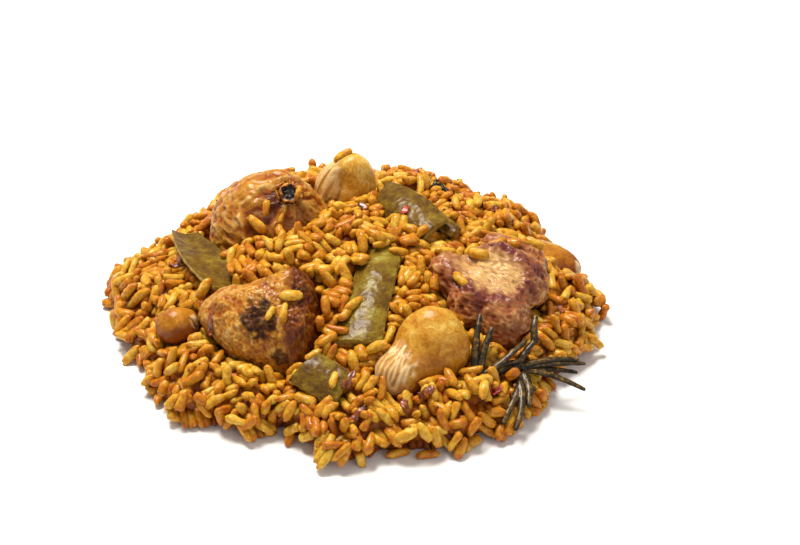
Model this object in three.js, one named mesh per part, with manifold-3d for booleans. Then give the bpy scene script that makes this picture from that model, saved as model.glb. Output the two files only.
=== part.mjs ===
// One portion of paella turned out as a loose heap: saffron rice, two pieces of browned chicken,
// a piece of browned rabbit, butter beans, flat green beans and a sprig of rosemary.
//
// Millimetres, +Z up, +X to the right, -Y to the front. The origin is on the surface that the
// heap lies on, under the middle of its outline.

import * as THREE from 'three';
import { mergeVertices } from 'three/addons/utils/BufferGeometryUtils.js';
import Module from 'manifold-3d';

const wasm = await Module();
wasm.setup();

// Driving dimensions
const HEAP_HALF_WIDTH = 81; // X, before the swells and notches of the rim
const HEAP_HALF_DEPTH = 77; // Y
const HEAP_PEAK = 34; // rice surface in the middle
const RIM_HEIGHT = 8; // height of the steep edge of the rice
const RIM_ROUNDING = 0.07; // share of the radius over which the edge rounds over
const POCKET_GAP = 0.35; // between each thin piece and the rice round it
const MEAT_ROOM = 1.8; // between each piece of meat and the rice round it
const BEAN_ROOM = 1.3; // between each butter bean and the rice round it
const GREEN_BEAN_THICKNESS = 2.4;
const GREEN_BEAN_EDGE = 0.5; // thickness of its long edges, as a share of the middle's
const NEEDLE_WIDTH = 2.6;
const NEEDLE_THICKNESS = 1.3;
const STEM_RADIUS = 1.1;
const BONE_RADIUS = 3.6;

const TURN = Math.PI / 180;
const REACH = 45; // further than any rounded piece reaches from its middle
const MEAT_POCKET_DETAIL = 3; // fineness of the pockets in the rice
const BEAN_POCKET_DETAIL = 2;

// ---------------------------------------------------------------------------------------------
// Rounded pieces: a few ellipsoids that melt into one another, skinned from the inside out
// ---------------------------------------------------------------------------------------------

// The distance from a point to an ellipsoid, which is turned by tilt, in degrees round X, Y and Z.
function ellipsoid(centre, radii, tilt = [0, 0, 0]) {
  const middle = new THREE.Vector3(...centre);
  const angles = tilt.map((degrees) => degrees * TURN);
  const straighten = new THREE.Quaternion().setFromEuler(new THREE.Euler(...angles)).invert();
  return (point) => {
    const local = point.clone().sub(middle).applyQuaternion(straighten);
    const scaled = Math.hypot(local.x / radii[0], local.y / radii[1], local.z / radii[2]);
    const slope = Math.hypot(
      local.x / radii[0] ** 2,
      local.y / radii[1] ** 2,
      local.z / radii[2] ** 2,
    );
    return slope < 1e-9 ? -Math.min(...radii) : (scaled * (scaled - 1)) / slope;
  };
}

// The smaller of two distances, with a fillet of about the given radius where they meet.
function smoothMin(a, b, fillet) {
  const near = Math.max(fillet - Math.abs(a - b), 0) / fillet;
  return Math.min(a, b) - (near * near * fillet) / 4;
}

function melt(shapes, fillet) {
  return (point) => shapes.map((shape) => shape(point)).reduce((a, b) => smoothMin(a, b, fillet));
}

function hollow(shape, hollows, fillet) {
  return (point) => hollows.reduce(
    (distance, cut) => -smoothMin(-distance, cut(point), fillet),
    shape(point),
  );
}

// A closed skin round the shape: each vertex of a geodesic ball goes out from the middle to the
// last place where the distance is zero. swell moves the skin outwards by that many millimetres.
function skin({ shape, middle }, detail, swell = 0) {
  const geometry = new THREE.IcosahedronGeometry(1, detail);
  geometry.deleteAttribute('normal');
  geometry.deleteAttribute('uv');
  const ball = mergeVertices(geometry, 1e-5);
  const spots = ball.getAttribute('position');
  const heart = new THREE.Vector3(...middle);
  const direction = new THREE.Vector3();
  for (let i = 0; i < spots.count; i += 1) {
    direction.fromBufferAttribute(spots, i).normalize();
    let inside = 0;
    let outside = REACH;
    for (let step = 0; step < 30; step += 1) {
      const halfway = (inside + outside) / 2;
      const distance = shape(heart.clone().addScaledVector(direction, halfway)) - swell;
      if (distance < 0) inside = halfway;
      else outside = halfway;
    }
    direction.multiplyScalar(inside).add(heart);
    spots.setXYZ(i, direction.x, direction.y, direction.z);
  }
  return ball;
}

// ---------------------------------------------------------------------------------------------
// Manifold solids, used only to cut and join
// ---------------------------------------------------------------------------------------------

function toSolid(geometry) {
  const bare = geometry.clone();
  for (const name of Object.keys(bare.attributes)) {
    if (name !== 'position') bare.deleteAttribute(name);
  }
  const merged = mergeVertices(bare, 1e-4);
  return new wasm.Manifold(new wasm.Mesh({
    numProp: 3,
    vertProperties: new Float32Array(merged.getAttribute('position').array),
    triVerts: new Uint32Array(merged.getIndex().array),
  }));
}

// The largest body of a solid, so that a cut leaves no crumbs.
function largest(solid) {
  return solid.decompose().reduce((a, b) => (a.volume() > b.volume() ? a : b));
}

function toGeometry(solid) {
  const mesh = solid.getMesh();
  const geometry = new THREE.BufferGeometry();
  geometry.setAttribute('position', new THREE.BufferAttribute(mesh.vertProperties, 3));
  geometry.setIndex(new THREE.BufferAttribute(mesh.triVerts, 1));
  geometry.computeVertexNormals();
  return geometry;
}

// ---------------------------------------------------------------------------------------------
// Lofts: rings of the same number of points, joined in order and closed at both ends
// ---------------------------------------------------------------------------------------------

function loft(rings) {
  const sides = rings[0].length;
  const spots = rings.flat();
  const faces = [];
  for (let ring = 0; ring + 1 < rings.length; ring += 1) {
    for (let side = 0; side < sides; side += 1) {
      const a = ring * sides + side;
      const b = ring * sides + ((side + 1) % sides);
      faces.push(a, b, b + sides, a, b + sides, a + sides);
    }
  }
  for (const [ring, flip] of [[0, true], [rings.length - 1, false]]) {
    const middle = new THREE.Vector3();
    rings[ring].forEach((spot) => middle.addScaledVector(spot, 1 / sides));
    spots.push(middle);
    for (let side = 0; side < sides; side += 1) {
      const a = ring * sides + side;
      const b = ring * sides + ((side + 1) % sides);
      faces.push(spots.length - 1, flip ? b : a, flip ? a : b);
    }
  }
  const geometry = new THREE.BufferGeometry().setFromPoints(spots);
  geometry.setIndex(faces);
  return geometry;
}

const point = (place) => new THREE.Vector3(...place);

const STRIP_STEP = 5; // mm between a strip's cross sections
const STRIP_COLUMNS = 4;

// A strip of flat green bean. route is its middle line, from end to end. up gives the way that
// its skin faces at each end. bow is how far the edges turn up (or down, below 0), in mm.
// slant is how far the cuts at the two ends lean, in mm, and swell fattens it on all sides.
function beanStrip({ route, up, width, bow, slant = [0, 0], swell = 0 }) {
  const line = new THREE.CatmullRomCurve3(route.map(point));
  const stations = Math.max(3, Math.round(line.getLength() / STRIP_STEP));
  const facing = up.map(point);
  const rings = [];
  for (let station = 0; station <= stations; station += 1) {
    const along = station / stations;
    const spot = line.getPointAt(along);
    const ahead = line.getTangentAt(along);
    const out = facing[0].clone().lerp(facing[1], along).projectOnPlane(ahead).normalize();
    const side = new THREE.Vector3().crossVectors(ahead, out);
    const halfWidth = width(along) / 2 + swell;
    const lean = (slant[0] * (1 - along) + slant[1] * along) / 2;
    const ends = swell * (along * 2 - 1);
    const upper = [];
    const lower = [];
    for (let column = 0; column <= STRIP_COLUMNS; column += 1) {
      const share = (column / STRIP_COLUMNS) * 2 - 1;
      const thinning = (1 - GREEN_BEAN_EDGE ** 2) * share * share;
      const plump = (GREEN_BEAN_THICKNESS / 2) * Math.sqrt(1 - thinning) + swell;
      const place = spot.clone()
        .addScaledVector(side, share * halfWidth)
        .addScaledVector(ahead, share * lean + ends)
        .addScaledVector(out, bow * share * share);
      upper.push(place.clone().addScaledVector(out, plump));
      lower.push(place.clone().addScaledVector(out, -plump));
    }
    rings.push([...upper, ...lower.reverse()]);
  }
  return loft(rings);
}

// ---------------------------------------------------------------------------------------------
// Rosemary: a woody stem with one leaf after another
// ---------------------------------------------------------------------------------------------

const LEAF_STATIONS = 4;
const LEAF_SIDES = 4;
const LEAF_TIP = 0.6; // width of a leaf's blunt tip, as a share of its middle's
const LEAF_ROOT = 0.15; // how far along its full shape a leaf starts
const LEAF_ARCH = 0.05; // height of a leaf's arch, as a share of its length

// A leaf from its root along a heading (degrees from +X) and rise, bowed sideways by bow mm.
function leaf({ root, heading, rise, length, bow = 0, swell = 0 }) {
  const ahead = new THREE.Vector3(
    Math.cos(heading * TURN) * Math.cos(rise * TURN),
    Math.sin(heading * TURN) * Math.cos(rise * TURN),
    Math.sin(rise * TURN),
  );
  const side = new THREE.Vector3(-ahead.y, ahead.x, 0).normalize();
  const out = new THREE.Vector3().crossVectors(ahead, side);
  const rings = [];
  for (let station = 0; station <= LEAF_STATIONS; station += 1) {
    const along = station / LEAF_STATIONS;
    const fullness = Math.sin(Math.PI * Math.min(1, LEAF_ROOT + along)) ** 0.6;
    const taper = LEAF_TIP + (1 - LEAF_TIP) * fullness;
    const arch = Math.sin(Math.PI * along);
    const middle = point(root)
      .addScaledVector(ahead, along * length)
      .addScaledVector(side, arch * bow)
      .addScaledVector(out, arch * length * LEAF_ARCH);
    const ring = [];
    for (let corner = 0; corner < LEAF_SIDES; corner += 1) {
      const angle = (corner / LEAF_SIDES) * 2 * Math.PI;
      ring.push(middle.clone()
        .addScaledVector(side, Math.cos(angle) * ((NEEDLE_WIDTH / 2) * taper + swell))
        .addScaledVector(out, Math.sin(angle) * ((NEEDLE_THICKNESS / 2) * taper + swell)));
    }
    rings.push(ring);
  }
  return loft(rings);
}

function stem(route, radius) {
  const line = new THREE.CatmullRomCurve3(route.map(point));
  const circle = new THREE.Shape();
  circle.absarc(0, 0, radius, 0, 2 * Math.PI);
  return new THREE.ExtrudeGeometry(circle, {
    extrudePath: line,
    steps: 4,
    curveSegments: 3,
    bevelEnabled: false,
  });
}

const STEM_ROUTE = [[37.4, -53.6, 13.4], [44.4, -49.4, 14.4], [51.6, -45.2, 13.8], [56, -43.6, 12.8]];

// Each leaf's root on the stem or on another leaf, its heading, rise and length.
const LEAVES = [
  { root: [39.6, -52, 14.2], heading: 83, rise: 38, length: 21.5, bow: 0.6 },
  { root: [41, -51.2, 14.2], heading: 71, rise: 39, length: 17, bow: 0.5 },
  { root: [43, -50, 14.2], heading: 41, rise: 17, length: 18.5, bow: -0.8 },
  { root: [52.6, -44.8, 13.8], heading: 44, rise: 32, length: 10.5 },
  { root: [59.4, -38.6, 18.8], heading: 88, rise: 34, length: 9, bow: 0.6 },
  { root: [39.4, -52.4, 14], heading: 28, rise: 6, length: 18, bow: 1.2 },
  { root: [54, -44, 13.6], heading: 14, rise: -3, length: 20, bow: 0.4 },
  { root: [55.6, -43.4, 13], heading: 12, rise: -6, length: 20.5, bow: -0.6 },
  { root: [55.6, -43.8, 12.4], heading: 9, rise: -12, length: 18, bow: -0.4 },
  { root: [55.2, -43.8, 12.2], heading: -12, rise: -14, length: 21, bow: 0.3 },
  { root: [52.6, -44.9, 12.8], heading: -91, rise: -18, length: 23, bow: 2.4 },
  { root: [55, -44, 12.2], heading: -83, rise: -14, length: 15, bow: 1 },
  { root: [53.8, -51.5, 11.2], heading: -113, rise: -17, length: 15, bow: 0.5 },
  { root: [55.4, -44, 12.2], heading: -66, rise: -14, length: 9, bow: -1.6 },
];

function rosemary(swell = 0) {
  const pieces = LEAVES.map((shape) => toSolid(leaf({ ...shape, swell })));
  return pieces.reduce((a, b) => a.add(b), toSolid(stem(STEM_ROUTE, STEM_RADIUS + swell)));
}

// ---------------------------------------------------------------------------------------------
// The bone in the chicken: a hollow ended peg that looks out of the meat
// ---------------------------------------------------------------------------------------------

const BONE_END = [-21, 16, 40.6];
const BONE_AIM = [0.1, -0.74, 0.66];
const BONE_LENGTH = 11;
const BONE_SHOULDER = 0.86; // widths, as shares of the bone's radius
const MARROW_MOUTH = 0.62;
const MARROW_FLOOR = 0.5;
const MARROW_DEPTH = 2;

function bone(swell = 0) {
  const outer = BONE_RADIUS + swell;
  const profile = [
    [0, -BONE_LENGTH - swell],
    [outer, -BONE_LENGTH - swell],
    [outer, -1 + swell],
    [outer * BONE_SHOULDER, swell],
    [BONE_RADIUS * MARROW_MOUTH, swell],
    [BONE_RADIUS * MARROW_FLOOR, -MARROW_DEPTH],
    [0, -MARROW_DEPTH - 0.3],
  ];
  const shape = swell ? [...profile.slice(0, 4), [0, swell]] : profile;
  const geometry = new THREE.LatheGeometry(shape.map(([r, z]) => new THREE.Vector2(r, z)), 14);
  const aim = new THREE.Quaternion().setFromUnitVectors(
    new THREE.Vector3(0, 1, 0),
    point(BONE_AIM).normalize(),
  );
  return geometry.applyQuaternion(aim).translate(...BONE_END);
}

// ---------------------------------------------------------------------------------------------
// The pieces of meat and beans
// ---------------------------------------------------------------------------------------------

// Each rounded piece: its shape, the middle that its skin is drawn from, and its fineness.
const ROUNDED = {
  chicken_back: {
    shape: hollow(
      melt([
        ellipsoid([-28, 22.5, 22.5], [19.8, 18, 20]),
        ellipsoid([-41, 20, 17], [7, 9, 8]),
        ellipsoid([-13, 20, 16], [6.5, 9, 11]),
      ], 7),
      [
        ellipsoid([-19.5, 4.2, 42.6], [12, 9, 9], [30, 0, 12]),
        ellipsoid([-34, 2.6, 26], [3.5, 6, 9], [20, -25, 0]),
      ],
      4,
    ),
    middle: [-28, 22, 20],
    detail: 5,
    color: 0xc07a26,
  },
  chicken_front: {
    shape: hollow(
      melt([
        ellipsoid([-26.5, -31, 18], [16, 12.5, 16.5], [-24, 0, 0]),
        ellipsoid([-17.6, -24, 28], [5.8, 6.5, 9], [0, -14, 0]),
        ellipsoid([-41.5, -26.5, 22.5], [9, 7, 6], [0, -28, 0]),
        ellipsoid([-17.6, -37, 16.5], [5, 8, 13]),
      ], 7),
      [ellipsoid([-39, -46, 12], [8, 7, 6], [0, 20, 0])],
      4,
    ),
    middle: [-26, -30, 19],
    detail: 5,
    color: 0xb86f22,
  },
  rabbit: {
    shape: hollow(
      melt([
        ellipsoid([48.5, -13, 26], [15, 12, 7], [26, 8, 0]),
        ellipsoid([31.6, -12, 27.5], [6.4, 7, 6.8]),
        ellipsoid([50, -27, 18], [8.5, 8, 10]),
        ellipsoid([39.5, -22, 22], [8, 8, 9]),
        ellipsoid([60, -9, 19], [5.5, 8, 7]),
      ], 4),
      [
        ellipsoid([47.5, -17, 35.4], [9, 6, 4], [26, 8, 0]),
        ellipsoid([39.2, -12, 35], [2.2, 6, 5]),
      ],
      3,
    ),
    middle: [47, -15, 22],
    detail: 5,
    color: 0x7a3f2a,
    flap: { shape: ellipsoid([54, 4, 22.6], [13, 7.5, 6], [0, 20, -6]), middle: [54, 4, 22.6] },
  },
  butter_bean_top: {
    shape: hollow(
      melt([
        ellipsoid([-0.9, 36.6, 29.6], [8.4, 7.6, 14], [0, 6, 0]),
        ellipsoid([-7.4, 38, 28.6], [6.2, 6, 11.4], [0, 14, 0]),
      ], 3),
      [ellipsoid([-4.4, 29, 33], [1.2, 4, 9], [20, 16, 0])],
      2,
    ),
    middle: [-2.5, 36, 28],
    detail: 4,
    color: 0xdba23a,
  },
  butter_bean_front: {
    shape: melt([
      ellipsoid([26.4, -43.5, 21.2], [12, 8.6, 13.2], [-26, 0, 0]),
      ellipsoid([15.6, -51.4, 16], [8.2, 7, 8.4], [-26, 0, 0]),
    ], 5),
    middle: [22.5, -46.5, 19],
    detail: 4,
    color: 0xdf9c2c,
  },
  butter_bean_right: {
    shape: ellipsoid([66.5, 18, 12], [13.5, 7, 5.4], [8, 18, -8]),
    middle: [66.5, 18, 12.4],
    detail: 3,
    color: 0xd09a36,
  },
  butter_bean_left: {
    shape: melt([
      ellipsoid([-57, -27, 17], [6.6, 6, 6.4]),
      ellipsoid([-53.4, -24, 15.4], [4.2, 5, 4.4]),
    ], 3),
    middle: [-55.5, -26, 16.6],
    detail: 3,
    color: 0xd8a044,
  },
};

const GREEN_BEANS = {
  green_bean_left: {
    route: [[-57.4, 19.4, 20.2], [-53, 8.4, 21.8], [-47, -3, 22.6], [-40.2, -14, 22.4]],
    up: [[0.32, -0.5, 0.8], [0.38, -0.2, 0.91]],
    width: (along) => 6.5 + 9 * Math.sin(Math.PI * (0.06 + 0.64 * along)),
    bow: 1.9,
    slant: [-4, 4],
  },
  green_bean_centre: {
    route: [[9.4, -4, 32.4], [8, -16.6, 31.6], [5.4, -29.6, 28.2], [2, -43.6, 23]],
    up: [[-0.15, -0.35, 0.9], [-0.15, -0.45, 0.85]],
    width: (along) => 14.5 + 1.5 * along - 1.5 * Math.sin(Math.PI * along),
    bow: -1.6,
    slant: [-4, 2],
  },
  green_bean_front: {
    route: [[-14.5, -52.6, 20.2], [-8.5, -56.6, 19], [-2, -60.6, 16.6]],
    up: [[-0.1, -0.45, 0.88], [0, -0.55, 0.83]],
    width: () => 13,
    bow: -1,
    slant: [-3, 2],
  },
  green_bean_top: {
    route: [[9, 27.4, 31], [14, 21.4, 32.6], [20.6, 14.4, 33], [27, 6.8, 31.8]],
    up: [[-0.3, -0.5, 0.82], [0, -0.45, 0.88]],
    width: (along) => 14.5 + 1.5 * Math.sin(Math.PI * along),
    bow: -2.2,
    slant: [6, 1],
  },
  green_bean_under: {
    route: [[26.6, 18.6, 29.4], [31, 15, 29.4], [35, 11, 28]],
    up: [[0.2, -0.3, 0.93], [0.3, -0.35, 0.88]],
    width: (along) => 8 - 3 * along,
    bow: -0.8,
  },
};

const GREEN = 0x6d6a23;

// ---------------------------------------------------------------------------------------------
// The heap of rice
// ---------------------------------------------------------------------------------------------

// Where clumps stand out of the rim (reach above 0) or are missing from it (below 0):
// bearing in degrees from +X, reach in mm, half the spread in degrees.
const RIM_CLUMPS = [
  { bearing: 0, reach: 5, spread: 5 },
  { bearing: 24, reach: -6, spread: 5 },
  { bearing: 40, reach: 3, spread: 6 },
  { bearing: 52, reach: -6, spread: 5 },
  { bearing: 77, reach: 3, spread: 5 },
  { bearing: 110, reach: 2, spread: 9 },
  { bearing: 131, reach: 4, spread: 7 },
  { bearing: 150, reach: -7, spread: 6 },
  { bearing: 170, reach: 6, spread: 7 },
  { bearing: -158, reach: -7, spread: 5 },
  { bearing: -144, reach: -8, spread: 3 },
  { bearing: -136, reach: 4, spread: 4 },
  { bearing: -121, reach: -6, spread: 6 },
  { bearing: -106, reach: -13, spread: 4.5 },
  { bearing: -93, reach: 6, spread: 6 },
  { bearing: -81, reach: -4, spread: 3 },
  { bearing: -66, reach: 3, spread: 6 },
  { bearing: -50, reach: 5, spread: 5 },
  { bearing: -29, reach: -5, spread: 6 },
  { bearing: -17, reach: 3, spread: 5 },
];

// Mounds and hollows of the rice: place in mm, height, and spread in mm.
const MOUNDS = [
  { x: -14, y: -2, height: 2.5, spread: 10 },
  { x: 30, y: 2, height: 2, spread: 8 },
  { x: 52, y: 16, height: 3, spread: 12 },
  { x: 20, y: 48, height: 6, spread: 18 },
  { x: 50, y: 36, height: 4, spread: 12 },
  { x: -54, y: 30, height: 5, spread: 9 },
  { x: -22, y: 56, height: 6, spread: 18 },
  { x: -70, y: 4, height: 3, spread: 9 },
  { x: 68, y: -18, height: 4, spread: 12 },
  { x: -27, y: -50, height: -7, spread: 11 },
  { x: -2, y: -38, height: -3, spread: 7 },
  { x: 16, y: -61, height: -3, spread: 8 },
  { x: 32, y: -68, height: 2, spread: 9 },
  { x: -50, y: -8, height: -2, spread: 8 },
];

function wrapped(degrees) {
  return ((degrees % 360) + 540) % 360 - 180;
}

function bump(offset, spread) {
  return Math.exp(-((offset / spread) ** 2));
}

// How far from the middle the heap reaches, at a share of the way out. Its clumps fade inwards.
function heapRadius(bearing, share) {
  const angle = bearing * TURN;
  const ellipse = 1 / Math.hypot(
    Math.cos(angle) / HEAP_HALF_WIDTH,
    Math.sin(angle) / HEAP_HALF_DEPTH,
  );
  const clumps = RIM_CLUMPS.map(
    (clump) => clump.reach * bump(wrapped(bearing - clump.bearing), clump.spread),
  );
  const ripple = 0.8 * Math.sin(17 * angle) + 0.6 * Math.cos(29 * angle);
  const uneven = ripple + clumps.reduce((a, b) => a + b, 0);
  return ellipse * share + uneven * share ** 7;
}

// Height of the rice at a place that is the given share of the way out to the rim.
function riceHeight(x, y, share) {
  const dome = RIM_HEIGHT + (HEAP_PEAK - RIM_HEIGHT) * (1 - share ** 1.5);
  const edge = Math.sqrt(Math.min(1, (1 - share) / RIM_ROUNDING));
  const mounds = MOUNDS.map(
    (mound) => mound.height * bump(Math.hypot(x - mound.x, y - mound.y), mound.spread),
  );
  const lumps = 0.9 * Math.sin(x / 4.1 + 0.6 * Math.sin(y / 5)) * Math.cos(y / 4.7 + 1);
  return (dome + mounds.reduce((a, b) => a + b, 0) + lumps) * edge;
}

const HEAP_SPOKES = 56;

function heapGeometry() {
  const shares = [0.97, 1.0, 0.985, 0.95, 0.9, 0.82, 0.71, 0.58, 0.44, 0.28, 0.12];
  const heights = [0, 3.2, 6]; // of the first rings, which make the steep rim
  const rings = shares.map((share, ring) => {
    const spots = [];
    for (let spoke = 0; spoke < HEAP_SPOKES; spoke += 1) {
      const bearing = (spoke / HEAP_SPOKES) * 360;
      const radius = heapRadius(bearing, share);
      const x = radius * Math.cos(bearing * TURN);
      const y = radius * Math.sin(bearing * TURN);
      const z = ring < heights.length ? heights[ring] : riceHeight(x, y, share);
      spots.push(new THREE.Vector3(x, y, z));
    }
    return spots;
  });
  return loft(rings);
}

// ---------------------------------------------------------------------------------------------
// Everything together
// ---------------------------------------------------------------------------------------------

const group = new THREE.Group();

function addPart(name, geometry, color, roughness) {
  const material = new THREE.MeshStandardMaterial({ color, roughness, metalness: 0 });
  const mesh = new THREE.Mesh(geometry, material);
  mesh.name = name;
  group.add(mesh);
}

let rice = toSolid(heapGeometry());
const boneHole = toSolid(bone(POCKET_GAP));

for (const [name, piece] of Object.entries(ROUNDED)) {
  const isBean = name.startsWith('butter_bean');
  const pocketDetail = isBean ? BEAN_POCKET_DETAIL : MEAT_POCKET_DETAIL;
  const room = isBean ? BEAN_ROOM : MEAT_ROOM;
  let solid = toSolid(skin(piece, piece.detail));
  rice = rice.subtract(toSolid(skin(piece, pocketDetail, room)));
  if (piece.flap) {
    solid = solid.add(toSolid(skin(piece.flap, pocketDetail)));
    rice = rice.subtract(toSolid(skin(piece.flap, pocketDetail, room)));
  }
  if (name === 'chicken_back') solid = solid.subtract(boneHole);
  addPart(name, toGeometry(largest(solid)), piece.color, 0.45);
}

for (const [name, shape] of Object.entries(GREEN_BEANS)) {
  addPart(name, toGeometry(toSolid(beanStrip(shape))), GREEN, 0.4);
  rice = rice.subtract(toSolid(beanStrip({ ...shape, swell: POCKET_GAP })));
}

addPart('chicken_bone', bone(), 0x9c5a26, 0.6);
rice = rice.subtract(boneHole);

addPart('rosemary', toGeometry(largest(rosemary())), 0x2b2614, 0.6);
rice = rice.subtract(rosemary(POCKET_GAP));

addPart('rice', toGeometry(largest(rice)), 0xc98a2c, 0.6);

// The origin goes under the middle of the whole heap, and its underside lies at height 0.
const extent = new THREE.Box3().setFromObject(group);
const centre = extent.getCenter(new THREE.Vector3());
group.position.set(-centre.x, -centre.y, -extent.min.z);

export default group;
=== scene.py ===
"""One portion of paella as a loose heap: saffron rice with browned chicken and rabbit, butter
beans, pieces of flat green bean and a sprig of rosemary, on a pale surface."""

import math
from itertools import product

import bpy
import numpy as np
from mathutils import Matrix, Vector


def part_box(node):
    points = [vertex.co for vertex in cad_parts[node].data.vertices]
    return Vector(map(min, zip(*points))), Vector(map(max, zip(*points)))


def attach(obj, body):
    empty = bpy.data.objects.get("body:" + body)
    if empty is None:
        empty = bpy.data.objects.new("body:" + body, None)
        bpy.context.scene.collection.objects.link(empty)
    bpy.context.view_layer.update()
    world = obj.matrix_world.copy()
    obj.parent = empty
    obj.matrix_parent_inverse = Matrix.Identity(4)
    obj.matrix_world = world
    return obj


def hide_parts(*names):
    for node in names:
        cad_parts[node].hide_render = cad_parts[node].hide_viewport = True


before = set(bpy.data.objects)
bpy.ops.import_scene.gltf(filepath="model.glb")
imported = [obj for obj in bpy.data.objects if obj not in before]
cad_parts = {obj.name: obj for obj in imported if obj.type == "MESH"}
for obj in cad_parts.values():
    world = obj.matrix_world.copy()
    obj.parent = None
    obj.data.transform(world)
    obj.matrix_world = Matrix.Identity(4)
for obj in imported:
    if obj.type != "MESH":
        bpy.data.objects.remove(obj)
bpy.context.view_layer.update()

# ---- The table top, the light and the camera ----
# A pale seamless table top under one broad soft light, as in a food studio: it hangs above,
# a little behind and to the left. A weaker one fills in from the front, and white walls all
# round send back the rest.

MM = 0.001  # a millimetre, in metres


def linear(code):
    """An sRGB hex colour as linear red, green, blue and alpha."""
    values = [int(code[start : start + 2], 16) / 255 for start in (1, 3, 5)]
    return [v / 12.92 if v <= 0.04045 else ((v + 0.055) / 1.055) ** 2.4 for v in values] + [1.0]


def blank_material(name):
    """A new material and its empty node tree."""
    material = bpy.data.materials.new(name)
    material.use_nodes = True
    material.node_tree.nodes.clear()
    return material, material.node_tree


def put(tree, kind, sockets=None, stops=None, **settings):
    """Adds a node with its settings, links or fills its sockets, and gives a ramp its stops."""
    node = tree.nodes.new(kind)
    for key, value in settings.items():
        setattr(node, key, value)
    for key, value in (sockets or {}).items():
        if isinstance(value, bpy.types.NodeSocket):
            tree.links.new(value, node.inputs[key])
        else:
            node.inputs[key].default_value = value
    for place, (position, code) in enumerate(stops or []):
        ramp = node.color_ramp.elements
        stop = ramp[place] if place < 2 else ramp.new(position)
        stop.position = position
        stop.color = linear(code)
    return node


def only(piece):
    """Deselects everything but one piece, and makes that the active one."""
    bpy.ops.object.select_all(action="DESELECT")
    piece.select_set(True)
    bpy.context.view_layer.objects.active = piece


TABLE_SIDE = 6.0
bpy.ops.mesh.primitive_plane_add(size=TABLE_SIDE, location=(0, 0, 0))
table_top = bpy.context.object
table_top.name = "table_top"
white_laminate, tree = blank_material("white laminate, matt")
surface = put(
    tree,
    "ShaderNodeBsdfPrincipled",
    {"Base Color": linear("#f7f7f6"), "Roughness": 0.7, "Specular IOR Level": 0.2},
)
put(tree, "ShaderNodeOutputMaterial", {"Surface": surface.outputs[0]})
table_top.data.materials.append(white_laminate)

AIM = Vector((15.9, 7.6, 15.0)) * MM  # the heap stands a little left of the view's middle
CAMERA_RISE = math.radians(35)
CAMERA_DISTANCE = 0.75
WALL_LIGHT = 0.34
camera_data = bpy.data.cameras.new("camera")
camera_data.lens = 100
camera_data.sensor_width = 36
camera = bpy.data.objects.new("camera", camera_data)
bpy.context.collection.objects.link(camera)
toward = Vector((0, -math.cos(CAMERA_RISE), math.sin(CAMERA_RISE)))
camera.location = AIM + toward * CAMERA_DISTANCE
camera.rotation_euler = (-toward).to_track_quat("-Z", "Y").to_euler()
bpy.context.scene.camera = camera


def soft_light(name, place, size, watts, colour):
    """A square panel of light that faces the heap."""
    data = bpy.data.lights.new(name, "AREA")
    data.size = size
    data.energy = watts
    data.color = linear(colour)[:3]
    lamp = bpy.data.objects.new(name, data)
    bpy.context.collection.objects.link(lamp)
    lamp.location = Vector(place)
    lamp.rotation_euler = (AIM - lamp.location).to_track_quat("-Z", "Y").to_euler()


soft_light("window_light", (-0.22, 0.3, 1.0), 0.45, 20, "#fffaf2")
soft_light("front_fill", (0.6, -0.8, 0.6), 0.9, 3, "#ffffff")

world = bpy.data.worlds.new("white walls")
world.use_nodes = True
walls = world.node_tree.nodes["Background"].inputs
walls["Color"].default_value = (1, 1, 1, 1)
walls["Strength"].default_value = WALL_LIGHT
bpy.context.scene.world = world
bpy.context.scene.view_settings.view_transform = "Standard"

# ---- Chicken: a thigh end seen on its cut face ----
# Chicken on the bone, browned in oil before the rice goes in. The wrinkled golden skin has drawn
# back round the cut and stands up as a lip, and the meat inside it is darker and stringy. Pale
# streaks on the skin and lip are painted highlights, and the lower right of the cut face and the
# grooves between its threads carry painted shade.


def copy_of(node, name, levels, crease=0.0):
    """A copy of a CAD node, merged and rounded by subdivision. crease keeps its sharp edges."""
    piece = bpy.data.objects.new(name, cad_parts[node].data.copy())
    bpy.context.collection.objects.link(piece)
    piece.data.materials.clear()
    only(piece)
    bpy.ops.mesh.customdata_custom_splitnormals_clear()
    bpy.ops.object.mode_set(mode="EDIT")
    bpy.ops.mesh.select_all(action="SELECT")
    bpy.ops.mesh.remove_doubles(threshold=0.02 * MM)
    if crease:
        bpy.ops.mesh.select_all(action="DESELECT")
        bpy.ops.mesh.select_mode(type="EDGE")
        bpy.ops.mesh.edges_select_sharp(sharpness=math.radians(42))
        bpy.ops.transform.edge_crease(value=crease)
    bpy.ops.object.mode_set(mode="OBJECT")
    rounding = piece.modifiers.new("rounding", "SUBSURF")
    rounding.levels = rounding.render_levels = levels
    bpy.ops.object.modifier_apply(modifier=rounding.name)
    bpy.ops.object.shade_smooth()
    return piece


def read(piece, what="co"):
    """The places of a piece's vertices in mm, or their normals, as an array."""
    source = piece.data.vertices if what == "co" else piece.data.vertex_normals
    flat = np.empty(len(source) * 3, np.float32)
    source.foreach_get("co" if what == "co" else "vector", flat)
    return flat.reshape(-1, 3).astype(float) / (MM if what == "co" else 1)


def write(piece, points):
    """Moves a piece's vertices to places in mm."""
    piece.data.vertices.foreach_set("co", (points * MM).astype(np.float32).ravel())
    piece.data.update()


def paint(piece, name, values):
    """Stores one number for each vertex, for a material to read."""
    layer = piece.data.attributes.new(name, "FLOAT", "POINT")
    layer.data.foreach_set("value", np.clip(values, 0, 1).astype(np.float32))


noise_draws = np.random.default_rng(3)
GRADIENTS = noise_draws.normal(size=(256, 3))
GRADIENTS /= np.linalg.norm(GRADIENTS, axis=1)[:, None]


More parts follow.
